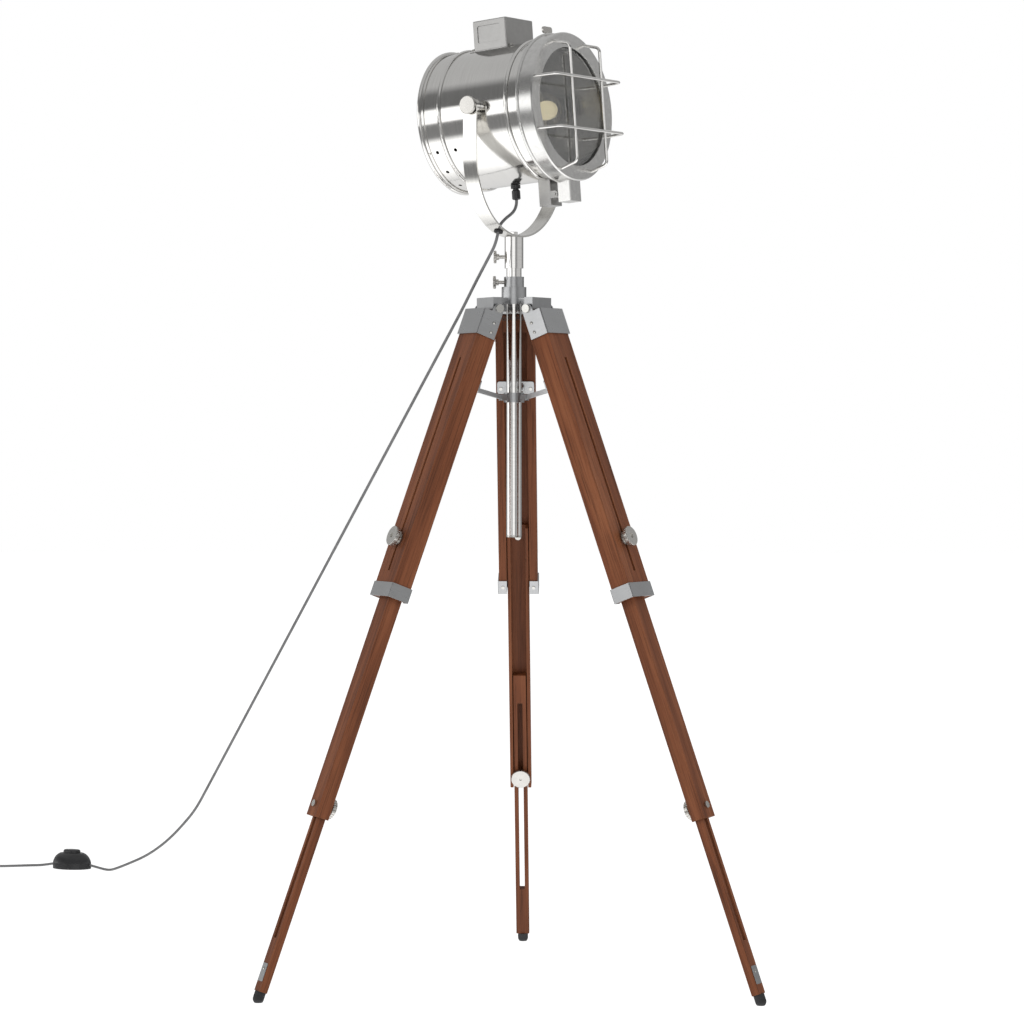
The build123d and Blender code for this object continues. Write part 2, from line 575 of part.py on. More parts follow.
def reflector():
    """Spun bowl round the lamp holder."""
    outer = [(-58, 21.8), (-50, 52), (-32, 78), (-2, 102)]
    return turned(outer + [(x + 0.6, r - 1.4) for x, r in reversed(outer)])


def lamp_holder():
    """Holder on a tube from the rear cap."""
    body = turned([(-62, 0), (-62, 15), (-58, 20), (-18, 20), (-14, 18), (-14, 14.2), (-44, 14.2), (-44, 0)])
    return body + rod((-111, 0, 0), (-62, 0, 0), 7.9)


def bulb():
    """Clear bulb: screw cap, neck and round envelope."""
    cap = [(-44, 0), (-44, 10), (-38, 13), (-14, 13), (-4, 16), (14, 24), (30, 30)]
    dome = [(58 + 30 * math.cos(a), 30 * math.sin(a)) for a in (math.radians(d) for d in range(105, -1, -15))]
    return turned(cap + dome)


def strain_relief():
    """Black cord grip under the drum: a stem, a flange, a waist and a long body."""
    x, wall = RELIEF_X, -DRUM_R
    made = rod((x, 0, wall + 4), (x, 0, wall - 12), 4.9)
    made += rod((x, 0, wall - 0.6), (x, 0, wall - 6), 8.0)
    body = rod((x, 0, wall - 8.5), (x, 0, wall - 24.5), 7.0)
    return made + chamfer(body.edges().filter_by(GeomType.CIRCLE), 1.5)


def add_head():
    place = head_place()
    keep("drum_shell", place * drum_shell())
    keep("rear_cap", place * rear_cap())
    keep("vent_box", place * vent_box())
    for screw in head_screws():
        keep("head_screws", place * screw)
    for boss in pivot_bosses():
        keep("pivot_bosses", place * boss)
    keep("door_ring", place * door_ring())
    keep("door_hinge_base", place * hinge_base())
    keep("door_latch_screw", place * latch_screw())
    keep("lens", place * lens())
    keep("lens_guard", place * lens_guard())
    keep("reflector", place * reflector())
    keep("lamp_holder", place * lamp_holder())
    keep("bulb", place * bulb())
    keep("strain_relief", place * strain_relief())


# ---- mains cord and foot switch -------------------------------------------------------------
SWITCH = Vector(-971, 1349, 0)
SWITCH_TURN = 160.0  # the switch's long axis, from the cord's entry to its exit
COIL = Vector(-1190, 1342, 0)
COIL_R, COIL_HEIGHT = 27.5, 10.0

# Route of the cord from the strain relief through the grommet.
UPPER_ROUTE = [
    (4.17, -118.57, 1291.4),
    (4.51, -118.78, 1285.9),
    (2.46, -121.92, 1276.6),
    (-2.14, -128.07, 1268.7),
    (-12.84, -142.21, 1259.3),
    (-19.49, -150.15, 1251.3),
    (-22.79, -153.05, 1245.35),
    (-26.04, -158.33, 1229.0),
]
# From below the grommet, in one long pull, down to the floor and the foot switch.
DROP_ROUTE = [
    (-26.04, -158.33, 1229.0),
    (-28.64, -162.56, 1215.92),
    (-38.5, -160.0, 1197.0),
    (-50.5, -147.0, 1176.0),
    (-66.0, -118.0, 1150.0),
    (-89.5, -66.0, 1109.3),
    (-656.0, 898.0, 172.0),
    (-684.0, 943.0, 140.0),
    (-715.0, 995.0, 108.0),
    (-749.0, 1051.0, 79.0),
    (-785.0, 1110.0, 54.0),
    (-822.0, 1171.0, 34.0),
    (-853.0, 1223.0, 18.0),
    (-876.0, 1265.0, 7.0),
    (-892.0, 1299.0, 3.2),
    (-908.0, 1322.0, 3.4),
    (-931.5, 1334.6, 8.0),
]
# From the foot switch along the floor to the coil.
MAINS_ROUTE = [
    (-1010.5, 1363.4, 8.0),
    (-1034.0, 1371.0, 3.2),
    (-1062.0, 1371.0, 2.6),
    (-1092.0, 1362.0, 2.6),
    (-1123.0, 1354.0, 2.6),
    (-1154.0, 1358.0, 2.6),
    (-1180.0, 1372.0, 4.0),
]


def cord_tube(name, route):
    """Tube of straight runs joined by tangent arcs. An end run has one arc on it and an inner run has two."""
    points = [Vector(*p) for p in route]
    runs = [after - before for before, after in zip(points, points[1:])]
    free = [run.length * (0.9 if i in (0, len(runs) - 1) else 0.45) for i, run in enumerate(runs)]
    radii = []
    for i in range(len(runs) - 1):
        turn = math.radians(runs[i].get_angle(runs[i + 1]))
        radii.append(min(free[i], free[i + 1]) / math.tan(turn / 2))
    path = FilletPolyline(*points, radius=radii)
    start = Plane(origin=path @ 0, z_dir=path % 0)
    tube = sweep(start * Circle(CORD_R), path=path)
    share = tube.volume / (math.pi * CORD_R**2 * path.length)
    print(name, "length", round(path.length), "volume share", round(share, 4), "radii", [round(r) for r in radii])
    return tube


def coil():
    """Outer shape of the wound-up end of the cord."""
    ring = rod((0, 0, 0), (0, 0, COIL_HEIGHT), COIL_R + 7.5) - rod((0, 0, -1), (0, 0, COIL_HEIGHT + 1), COIL_R - 7.5)
    return Pos(COIL) * fillet(ring.edges().filter_by(GeomType.CIRCLE), 2.4)


def plug():
    """Generic two-pin plug lying beside the coil."""
    body = soft_block((0, 36), (-13, 13), (0.2, 14.2), 5.0)
    body += rod((-12, 0, 7), (1, 0, 7), 4.0)
    for side in (-9.5, 9.5):
        body += rod((35, side, 7), (54, side, 7), 2.0)
    return Pos(COIL) * Pos(-COIL_R - 7.5, -20, 0) * Rot(0, 0, -95) * Pos(12.5, -4, 0) * body


def foot_switch():
    """Oval foot switch body, flat underneath, with a well in its top for the button."""
    base = extrude(Ellipse(42, 30), 12)
    top = loft([Pos(0, 0, 12) * Ellipse(42, 30), Pos(0, 0, 25) * Ellipse(36, 24.5), Pos(0, 0, 32) * Ellipse(26, 17)])
    made = base + top - extrude(Pos(0, 0, 18) * Ellipse(19.3, 12.3), 20)
    return made - rod((-50, 0, 8), (-36, 0, 8), 2.6) - rod((36, 0, 8), (50, 0, 8), 2.6)


def switch_button():
    """Domed button that travels down into the well."""
    made = extrude(Pos(0, 0, 21.5) * Ellipse(19, 12), 17.5)
    return fillet(made.edges().group_by(Axis.Z)[-1], 4.0)


def add_cord():
    keep("cord_upper", cord_tube("cord_upper", UPPER_ROUTE))
    keep("cord_drop", cord_tube("cord_drop", DROP_ROUTE))
    keep("cord_mains", cord_tube("cord_mains", MAINS_ROUTE) - coil())
    keep("cord_coil", coil())
    keep("mains_plug", plug())
    place = Pos(SWITCH) * Rot(0, 0, SWITCH_TURN)
    keep("foot_switch_body", place * foot_switch())
    keep("foot_switch_button", place * switch_button())


def main():
    for number in LEG_AZIMUTHS:
        add_leg(number)
    add_column()
    add_yoke()
    add_head()
    add_cord()
    os.makedirs("parts", exist_ok=True)
    for name, solids in PARTS.items():
        shape = solids[0] if len(solids) == 1 else Compound(children=solids)
        export_step(shape, f"parts/{name}.step")
    print(len(PARTS), "nodes; lean", round(SPREAD, 3), "leg", round(LEG_LENGTH, 2), "stay ends", stay_ends())


main()
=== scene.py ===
"""Looks of the searchlight floor lamp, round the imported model. Metres; +Z up; the column stands at COLUMN."""

import math

import bmesh
import bpy
from mathutils import Matrix, Vector


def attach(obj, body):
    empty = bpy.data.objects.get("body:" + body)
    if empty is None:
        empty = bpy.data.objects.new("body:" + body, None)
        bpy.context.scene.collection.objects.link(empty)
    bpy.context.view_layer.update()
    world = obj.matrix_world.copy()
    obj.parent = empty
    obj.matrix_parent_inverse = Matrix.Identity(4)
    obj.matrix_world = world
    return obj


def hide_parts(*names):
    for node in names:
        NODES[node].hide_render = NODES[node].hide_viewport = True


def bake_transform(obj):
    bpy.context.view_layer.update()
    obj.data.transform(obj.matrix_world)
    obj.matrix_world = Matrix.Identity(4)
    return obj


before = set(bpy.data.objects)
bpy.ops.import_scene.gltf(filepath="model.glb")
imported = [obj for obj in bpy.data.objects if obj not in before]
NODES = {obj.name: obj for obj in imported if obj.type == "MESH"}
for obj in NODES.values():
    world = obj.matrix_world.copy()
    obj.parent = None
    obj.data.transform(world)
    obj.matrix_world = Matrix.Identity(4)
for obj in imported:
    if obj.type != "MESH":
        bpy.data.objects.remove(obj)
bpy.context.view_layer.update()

COLUMN = Vector((0.0, -0.116, 0.0))
LEGS = {1: 90.0, 2: 210.0, 3: 330.0}
HINGE_R, HINGE_Z = 0.046, 1.110
SPREAD = math.atan2(0.465 - 0.046, 1.110)
PIVOT = COLUMN + Vector((0, 0, 1.438))
HEAD_TURN, HEAD_TILT = math.radians(-31.6), math.radians(4.5)
HEAD_DROP = 0.007  # the drum's axis is this far below the pivot

CAMERA_TURN, CAMERA_DISTANCE, CAMERA_HEIGHT = math.radians(-2.0), 5.8, 0.911
SENSOR_MM, LENS_MM = 36.0, 123.36328125
SHIFT_X, SHIFT_Y = -0.001953125, -0.080078125

LEG_FRAME = {
    n: Matrix.Translation(COLUMN)
    @ Matrix.Rotation(math.radians(a), 4, "Z")
    @ Matrix.Translation((HINGE_R, 0, HINGE_Z))
    @ Matrix.Rotation(-SPREAD, 4, "Y")
    for n, a in LEGS.items()
}
HEAD_FRAME = (
    Matrix.Translation(PIVOT)
    @ Matrix.Rotation(HEAD_TURN, 4, "Z")
    @ Matrix.Rotation(-HEAD_TILT, 4, "Y")
    @ Matrix.Translation((0, 0, -HEAD_DROP))
)
YOKE_FRAME = Matrix.Translation(COLUMN) @ Matrix.Rotation(HEAD_TURN, 4, "Z")


# ---- camera ---------------------------------------------------------------------------------
def make_camera():
    data = bpy.data.cameras.new("camera")
    cam = bpy.data.objects.new("camera", data)
    bpy.context.scene.collection.objects.link(cam)
    look = Vector((math.sin(CAMERA_TURN), math.cos(CAMERA_TURN), 0))
    cam.location = COLUMN - look * CAMERA_DISTANCE + Vector((0, 0, CAMERA_HEIGHT))
    cam.rotation_euler = look.to_track_quat("-Z", "Y").to_euler()
    data.sensor_width = SENSOR_MM
    data.lens = LENS_MM
    data.shift_x, data.shift_y = SHIFT_X, SHIFT_Y
    data.clip_end = 60.0
    bpy.context.scene.camera = cam


make_camera()

# ---- cords ----------------------------------------------------------------------------------
CORD_D = 0.005
UPPER_ROUTE = [
    (0.00417, -0.11857, 1.2914),
    (0.00451, -0.11878, 1.2859),
    (0.00246, -0.12192, 1.2766),
    (-0.00214, -0.12807, 1.2687),
    (-0.01284, -0.14221, 1.2593),
    (-0.01949, -0.15015, 1.2513),
    (-0.02279, -0.15305, 1.24535),
    (-0.02604, -0.15833, 1.2290),
]
DROP_ROUTE = [
    (-0.02604, -0.15833, 1.2290),
    (-0.02864, -0.16256, 1.21592),
    (-0.0385, -0.1600, 1.1970),
    (-0.0505, -0.1470, 1.1760),
    (-0.0660, -0.1180, 1.1500),
    (-0.0895, -0.0660, 1.1093),
    (-0.1120, -0.0282, 1.0724),
    (-0.6290, 0.8525, 0.2160),
    (-0.6560, 0.8980, 0.1720),
    (-0.6840, 0.9430, 0.1400),
    (-0.7150, 0.9950, 0.1080),
    (-0.7490, 1.0510, 0.0790),
    (-0.7850, 1.1100, 0.0540),
    (-0.8220, 1.1710, 0.0340),
    (-0.8530, 1.2230, 0.0180),
    (-0.8760, 1.2650, 0.0070),
    (-0.8920, 1.2990, 0.0032),
    (-0.9080, 1.3220, 0.0034),
    (-0.9315, 1.3346, 0.0080),
]
MAINS_ROUTE = [
    (-1.0105, 1.3634, 0.0080),
    (-1.0340, 1.3710, 0.0032),
    (-1.0620, 1.3710, 0.0026),
    (-1.0920, 1.3620, 0.0026),
    (-1.1230, 1.3540, 0.0026),
    (-1.1540, 1.3580, 0.0026),
]
COIL = Vector((-1.190, 1.342, 0.0))
TURN_POINTS = 14


def coil_points():
    """Five neat turns: three on the floor from the outside in, and two on top from the inside out."""
    points = []
    turns = 5
    start = math.atan2(1.372 - COIL.y, -1.175 - COIL.x)
    for i in range(turns * TURN_POINTS + 4):
        t = i / TURN_POINTS
        low = t < 3
        radius = 0.0322 - 0.0048 * t if low else 0.0212 + 0.0046 * (t - 3)
        height = 0.0026 if t < 2.7 else min(0.0072, 0.0026 + (t - 2.7) * 0.0115)
        angle = start + math.tau * t
        points.append((COIL.x + radius * math.cos(angle), COIL.y + radius * math.sin(angle), height))
    return points


def spline_curve(name, points):
    data = bpy.data.curves.new(name, "CURVE")
    data.dimensions = "3D"
    spline = data.splines.new("NURBS")
    spline.points.add(len(points) - 1)
    for point, place in zip(spline.points, points):
        point.co = (*place, 1.0)
    spline.order_u = 3
    spline.use_endpoint_u = True
    spline.resolution_u = 12
    curve = bpy.data.objects.new(name, data)
    bpy.context.scene.collection.objects.link(curve)
    return curve


def line_of(curve):
    """Points read along the route's own spline."""
    mesh = bpy.data.meshes.new_from_object(curve)
    line = [v.co.copy() for v in mesh.vertices]
    bpy.data.meshes.remove(mesh)
    bpy.data.objects.remove(curve)
    return line


def tube_mesh(name, line, radius, sides=16):
    """A closed round tube along a line, with frames carried along it without twist."""
    bm = bmesh.new()
    tangents = [(line[min(i + 1, len(line) - 1)] - line[max(i - 1, 0)]).normalized() for i in range(len(line))]
    normal = tangents[0].orthogonal().normalized()
    rings = []
    for place, tangent in zip(line, tangents):
        normal = (normal - tangent * normal.dot(tangent)).normalized()
        side = tangent.cross(normal)
        ring = []
        for k in range(sides):
            a = math.tau * k / sides
            ring.append(bm.verts.new(place + (normal * math.cos(a) + side * math.sin(a)) * radius))
        rings.append(ring)
    for a, b in zip(rings, rings[1:]):
        for k in range(sides):
            bm.faces.new((a[k], a[(k + 1) % sides], b[(k + 1) % sides], b[k]))
    bm.faces.new(list(reversed(rings[0])))
    bm.faces.new(rings[-1])
    bmesh.ops.recalc_face_normals(bm, faces=bm.faces)
    return finish_mesh(name, bm)


def finish_mesh(name, bm, smooth=True):
    data = bpy.data.meshes.new(name)
    bm.to_mesh(data)
    bm.free()
    for polygon in data.polygons:
        polygon.use_smooth = smooth
    piece = bpy.data.objects.new(name, data)
    bpy.context.scene.collection.objects.link(piece)
    return piece


def length_of(line):
    return sum((b - a).length for a, b in zip(line, line[1:]))


def make_cords():
    upper = line_of(spline_curve("upper_line", UPPER_ROUTE))
    drop = line_of(spline_curve("drop_line", DROP_ROUTE))
    split = next(i for i, p in enumerate(drop) if p.z < 1.10)
    top, rest = drop[: split + 1], drop[split:]
    made = {}
    made["upper"] = tube_mesh("cord_in_yoke", upper, CORD_D / 2)
    made["top"] = tube_mesh("cord_at_column", top, CORD_D / 2)
    made["rest"] = tube_mesh("cord_to_switch", rest, CORD_D / 2)
    mains = spline_curve("cord_to_plug", MAINS_ROUTE + coil_points())
    mains.data.bevel_depth = CORD_D / 2
    mains.data.bevel_resolution = 4
    mains.data.use_fill_caps = True
    made["mains"] = mains
    mains_length = length_of(line_of(spline_curve("mains_line", MAINS_ROUTE + coil_points())))
    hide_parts("cord_upper")
    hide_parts("cord_drop")
    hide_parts("cord_mains", "cord_coil")
    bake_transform(made["upper"])
    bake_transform(made["top"])
    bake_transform(made["rest"])
    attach(mains, "base")
    return made


CORDS = make_cords()


# ---- node helpers ---------------------------------------------------------------------------
class Shader:
    """A short way to wire a node tree."""

    def __init__(self, tree):
        self.tree = tree
        tree.nodes.clear()

    def node(self, kind, **settings):
        made = self.tree.nodes.new(kind)
        for key, value in settings.items():
            setattr(made, key, value)
        return made

    def link(self, source, target):
        self.tree.links.new(source, target)

    def put(self, target, value):
        if hasattr(value, "is_linked"):
            self.tree.links.new(value, target)
        else:
            target.default_value = value

    def math(self, operation, a, b=0.0, clamp=False):
        made = self.node("ShaderNodeMath", operation=operation, use_clamp=clamp)
        self.put(made.inputs[0], a)
        self.put(made.inputs[1], b)
        return made.outputs[0]

    def ramp(self, value, stops):
        made = self.node("ShaderNodeValToRGB")
        elements = made.color_ramp.elements
        while len(elements) < len(stops):
            elements.new(0.5)
        for element, (place, colour) in zip(elements, stops):
            element.position = place
            element.color = (*colour, 1.0) if isinstance(colour, tuple) else (colour, colour, colour, 1.0)
        self.put(made.inputs[0], value)
        return made.outputs[0]

    def mix(self, factor, a, b, mode="MIX"):
        made = self.node("ShaderNodeMix", data_type="RGBA", blend_type=mode)
        self.put(made.inputs[0], factor)
        for index, value in ((6, a), (7, b)):
            if isinstance(value, tuple):
                made.inputs[index].default_value = (*value, 1.0) if len(value) == 3 else value
            else:
                self.tree.links.new(value, made.inputs[index])
        return made.outputs[2]

    def noise(self, vector, scale, detail=4.0, roughness=0.5):
        made = self.node("ShaderNodeTexNoise")
        self.put(made.inputs["Vector"], vector)
        made.inputs["Scale"].default_value = scale
        made.inputs["Detail"].default_value = detail
        made.inputs["Roughness"].default_value = roughness
        return made.outputs["Fac"]

    def local(self, matrix=None, scale=(1, 1, 1)):
        """The piece's own coordinates, taken into a frame and then stretched."""
        coordinates = self.node("ShaderNodeTexCoord").outputs["Object"]
        if matrix is not None:
            turn = self.node("ShaderNodeMapping", vector_type="TEXTURE")
            turn.inputs["Location"].default_value = matrix.to_translation()
            turn.inputs["Rotation"].default_value = matrix.to_euler()
            self.link(coordinates, turn.inputs["Vector"])
            coordinates = turn.outputs[0]
        stretch = self.node("ShaderNodeMapping")
        stretch.inputs["Scale"].default_value = scale
        self.link(coordinates, stretch.inputs["Vector"])
        return stretch.outputs[0]

    def bump(self, height, strength, distance, bevel=0.0):
        made = self.node("ShaderNodeBump")
        made.inputs["Strength"].default_value = strength
        made.inputs["Distance"].default_value = distance
        self.put(made.inputs["Height"], height)
        if bevel:
            edge = self.node("ShaderNodeBevel", samples=4)
            edge.inputs["Radius"].default_value = bevel
            self.link(edge.outputs[0], made.inputs["Normal"])
        return made.outputs[0]

    def surface(self, **inputs):
        made = self.node("ShaderNodeBsdfPrincipled")
        names = {"colour": "Base Color", "metallic": "Metallic", "rough": "Roughness", "normal": "Normal",
                 "coat": "Coat Weight", "coat_rough": "Coat Roughness", "specular": "Specular IOR Level",
                 "alpha": "Alpha", "glow": "Emission Color", "glow_strength": "Emission Strength"}
        for key, value in inputs.items():
            if isinstance(value, tuple) and len(value) == 3:
                value = (*value, 1.0)
            self.put(made.inputs[names[key]], value)
        self.finish(made)

    def finish(self, shader, kind="ShaderNodeOutputMaterial"):
        self.link(shader.outputs[0], self.node(kind).inputs["Surface"])

    def blend(self, factor, a, b):
        """Two shaders mixed: a at zero, b at one."""
        both = self.node("ShaderNodeMixShader")
        self.put(both.inputs[0], factor)
        self.link(a.outputs[0], both.inputs[1])
        self.link(b.outputs[0], both.inputs[2])
        return both


def material(name):
    made = bpy.data.materials.new(name)
    made.use_nodes = True
    return made, Shader(made.node_tree)


def paint(piece, made):
    """Every slot of a piece gets one material."""
    if not piece.material_slots:
        piece.data.materials.append(made)
    for place in piece.material_slots:
        place.material = made


# ---- materials ------------------------------------------------------------------------------
def wood(name, matrix, seed):
    """Oiled teak. The grain runs along the leg, with pores and darker figure, and a painted highlight that lightens
    its rounded edges.
    """
    made, s = material(name)
    shift = Matrix.Translation((seed * 0.37, seed * 0.11, seed * 0.73))
    grain = s.local(matrix @ shift, (38, 38, 2.2))
    figure = s.noise(grain, 1.0, 6, 0.62)
    fine = s.noise(s.local(matrix @ shift, (520, 520, 9)), 1.0, 5, 0.7)
    cloud = s.noise(s.local(matrix @ shift, (9, 9, 3.2)), 1.0, 2, 0.5)
    base = s.ramp(figure, [(0.30, (0.080, 0.024, 0.009)), (0.48, (0.150, 0.046, 0.017)), (0.62, (0.205, 0.070, 0.028)),
                           (0.78, (0.27, 0.105, 0.046))])
    base = s.mix(s.ramp(cloud, [(0.35, 0.0), (0.7, 0.5)]), base, (0.140, 0.041, 0.014), "MIX")
    pores = s.ramp(fine, [(0.36, 0.35), (0.5, 1.0)])
    base = s.mix(0.75, base, pores, "MULTIPLY")
    # painted highlight: the colour is lightened along rounded edges, where the bevelled normal turns away from the
    # true normal
    rounded = s.node("ShaderNodeBevel", samples=4)
    rounded.inputs["Radius"].default_value = 0.0014
    turned = s.node("ShaderNodeVectorMath", operation="DOT_PRODUCT")
    s.link(rounded.outputs[0], turned.inputs[0])
    s.link(s.node("ShaderNodeNewGeometry").outputs["True Normal"], turned.inputs[1])
    edge = s.ramp(turned.outputs["Value"], [(0.80, 0.55), (0.97, 0.0)])
    base = s.mix(edge, base, (0.28, 0.12, 0.055))
    rough = s.ramp(fine, [(0.3, 0.66), (0.7, 0.46)])
    height = s.math("ADD", s.math("MULTIPLY", fine, 0.5), s.math("MULTIPLY", figure, 0.8))
    s.surface(colour=base, rough=rough, normal=s.bump(height, 0.22, 0.0006, 0.0009), coat=0.05, coat_rough=0.35,
              specular=0.22)
    return made


def metal(name, colour, rough, brush=None, matrix=None, grime=0.25, bump=0.06, bevel=0.0005):
    """Bare metal. brush is how finely its marks are packed along each axis of its frame."""
    made, s = material(name)
    lines = s.noise(s.local(matrix, brush or (220, 220, 220)), 1.0, 3, 0.6)
    smudge = s.noise(s.local(matrix, (14, 14, 14)), 1.0, 4, 0.55)
    tone = s.ramp(lines, [(0.3, tuple(c * 0.93 for c in colour)), (0.7, tuple(min(1.0, c * 1.04) for c in colour))])
    tone = s.mix(s.ramp(smudge, [(0.5, 0.0), (0.85, grime)]), tone, tuple(c * 0.76 for c in colour))
    haze = s.math("MULTIPLY", s.ramp(smudge, [(0.45, 0.0), (0.8, 1.0)]), 0.04)
    roughness = s.math("ADD", s.math("ADD", s.math("MULTIPLY", lines, 0.06), rough - 0.03), haze)
    s.surface(colour=tone, metallic=1.0, rough=roughness, normal=s.bump(lines, bump, 0.0003, bevel))
    return made


def plastic(name, colour, rough, grain=900.0, strength=0.25, coat=0.0):
    made, s = material(name)
    tone = s.noise(s.local(None, (1, 1, 1)), grain, 2, 0.6)
    wear = s.noise(s.local(None, (1, 1, 1)), 25.0, 4, 0.6)
    base = s.ramp(wear, [(0.3, colour), (0.75, tuple(c * 1.5 + 0.006 for c in colour))])
    s.surface(colour=base, rough=s.math("ADD", s.math("MULTIPLY", wear, 0.12), rough - 0.06),
              normal=s.bump(tone, strength, 0.0002, 0.0006), coat=coat, specular=0.45)
    return made


def glass(name, tint=(1, 1, 1), rough=0.0, see_through=0.75):
    """Thin clear glass: mostly open, with a reflection that grows towards its edge."""
    made, s = material(name)
    clear = s.node("ShaderNodeBsdfTransparent")
    clear.inputs[0].default_value = (*tint, 1)
    shine = s.node("ShaderNodeBsdfGlossy")
    shine.inputs["Roughness"].default_value = rough
    dust = s.noise(s.local(None, (1, 1, 1)), 60.0, 5, 0.6)
    shine.inputs["Color"].default_value = (1, 1, 1, 1)
    edge = s.node("ShaderNodeLayerWeight")
    edge.inputs["Blend"].default_value = 0.32
    amount = s.math("MULTIPLY", edge.outputs["Fresnel"], 1.0 - see_through, True)
    amount = s.math("ADD", amount, s.math("MULTIPLY", dust, 0.05), True)
    s.finish(s.blend(amount, clear, shine))
    return made


def glowing(name, colour, strength, cover):
    """Warm light in a frosted bulb: an even glow that the glass round it still shows through."""
    made, s = material(name)
    mottled = s.noise(s.local(None, (1, 1, 1)), 120.0, 2, 0.5)
    tone = s.ramp(mottled, [(0.3, colour), (0.7, tuple(min(1.0, c * 1.08) for c in colour))])
    s.surface(colour=(0.05, 0.05, 0.05), glow=tone, glow_strength=strength, alpha=cover, rough=0.6)
    return made


ROUND_DRUM = (900, 14, 14)
DRUM = metal("brushed_drum", (0.76, 0.75, 0.73), 0.11, ROUND_DRUM, HEAD_FRAME, 0.15, 0.02)
BRIGHT = metal("bright_nickel", (0.78, 0.77, 0.75), 0.12, (90, 90, 90), None, 0.1, 0.01)
PRESSED = metal("pressed_nickel", (0.44, 0.435, 0.425), 0.34, (90, 90, 90), HEAD_FRAME, 0.2, 0.02)
RING_FACE = metal("satin_ring", (0.70, 0.695, 0.68), 0.24, (120, 120, 120), HEAD_FRAME, 0.15, 0.02)
YOKE_METAL = metal("brushed_yoke", (0.78, 0.77, 0.74), 0.15, (400, 30, 30), YOKE_FRAME, 0.12, 0.02)
MAST_METAL = metal("bright_tube", (0.82, 0.81, 0.79), 0.09, (60, 60, 400), None, 0.08, 0.01)
ALLOY = metal("satin_alloy", (0.46, 0.465, 0.47), 0.30, (300, 300, 60), None, 0.3, 0.05)
KNOB = metal("turned_nickel", (0.60, 0.585, 0.555), 0.26, (120, 120, 120), None, 0.15, 0.02)
SCREW = metal("screw_steel", (0.62, 0.61, 0.58), 0.22, (200, 200, 200), None, 0.2, 0.04)
MIRROR = metal("spun_mirror", (0.33, 0.33, 0.325), 0.30, ROUND_DRUM, HEAD_FRAME, 0.2, 0.03)
RUBBER = plastic("black_rubber", (0.012, 0.012, 0.013), 0.62, 700, 0.35)
BLACK = plastic("black_moulding", (0.014, 0.014, 0.015), 0.34, 1200, 0.12, 0.1)
CORD = plastic("cord_sheath", (0.105, 0.105, 0.107), 0.55, 900, 0.15)
CLEAR = glass("lens_glass", (0.96, 0.96, 0.95), 0.0, 0.6)
BULB_GLASS = glass("bulb_glass", (1.0, 0.97, 0.9), 0.0, 0.6)

NODE_MATERIALS = {
    "drum_shell": DRUM, "rear_cap": DRUM, "vent_box": PRESSED, "head_screws": SCREW, "pivot_bosses": BRIGHT,
    "door_hinge_base": PRESSED, "reflector": MIRROR, "lamp_holder": BLACK, "bulb": BULB_GLASS,
    "strain_relief": BLACK, "door_ring": RING_FACE, "lens": CLEAR, "lens_guard": BRIGHT, "door_latch_screw": KNOB,
    "yoke": YOKE_METAL, "yoke_bolt": BRIGHT, "grommet": RUBBER, "sleeve": MAST_METAL, "sleeve_clamp_screw": KNOB,
    "near_tilt_knob": KNOB, "far_tilt_knob": KNOB, "hub": ALLOY, "hub_clamp_screw": KNOB, "mast": MAST_METAL,
    "mast_plug": SCREW, "stay_collar": ALLOY, "foot_switch_body": BLACK, "foot_switch_button": BLACK,
    "mains_plug": BLACK,
}


def paint_cad():
    for n in LEGS:
        legs = {
            "rail": wood(f"teak_rail_{n}", LEG_FRAME[n], n * 1.0),
            "middle": wood(f"teak_middle_{n}", LEG_FRAME[n], n + 4.3),
            "bar": wood(f"teak_bar_{n}", LEG_FRAME[n], n + 9.1),
            "metalwork": metal(f"shoe_alloy_{n}", (0.46, 0.465, 0.47), 0.28, (40, 300, 300), LEG_FRAME[n], 0.3, 0.05),
            "fasteners": SCREW, "foot": RUBBER, "upper_knob": KNOB, "lower_knob": KNOB,
        }
        for part, made in legs.items():
            paint(NODES[f"leg_{n}_{part}"], made)
        paint(NODES[f"stay_{n}"], ALLOY)
    for node, made in NODE_MATERIALS.items():
        paint(NODES[node], made)
    for piece in CORDS.values():
        paint(piece, CORD)
    for node in NODES.values():
        data = node.data
        for polygon in data.polygons:
            polygon.use_smooth = True
        data.set_sharp_from_angle(angle=math.radians(32))


paint_cad()


# ---- added pieces ---------------------------------------------------------------------------
def lathe(name, profile, matrix, sides=40):
    """Turned piece from (x, radius) points about the frame's X axis."""
    bm = bmesh.new()
    rings = []
    for x, r in profile:
        if r < 1e-6:
            rings.append([bm.verts.new((x, 0, 0))])
        else:
            rings.append([bm.verts.new((x, r * math.cos(math.tau * k / sides), r * math.sin(math.tau * k / sides)))
                          for k in range(sides)])
    for a, b in zip(rings, rings[1:]):
        for k in range(sides):
            j = (k + 1) % sides
            corners = [a[k % len(a)], a[j % len(a)], b[j % len(b)], b[k % len(b)]]
            unique = list(dict.fromkeys(corners))
            if len(unique) > 2:
                bm.faces.new(unique)
    bmesh.ops.recalc_face_normals(bm, faces=bm.faces)
    bm.transform(matrix)
    piece = finish_mesh(name, bm)
    piece.data.set_sharp_from_angle(angle=math.radians(35))
    return piece


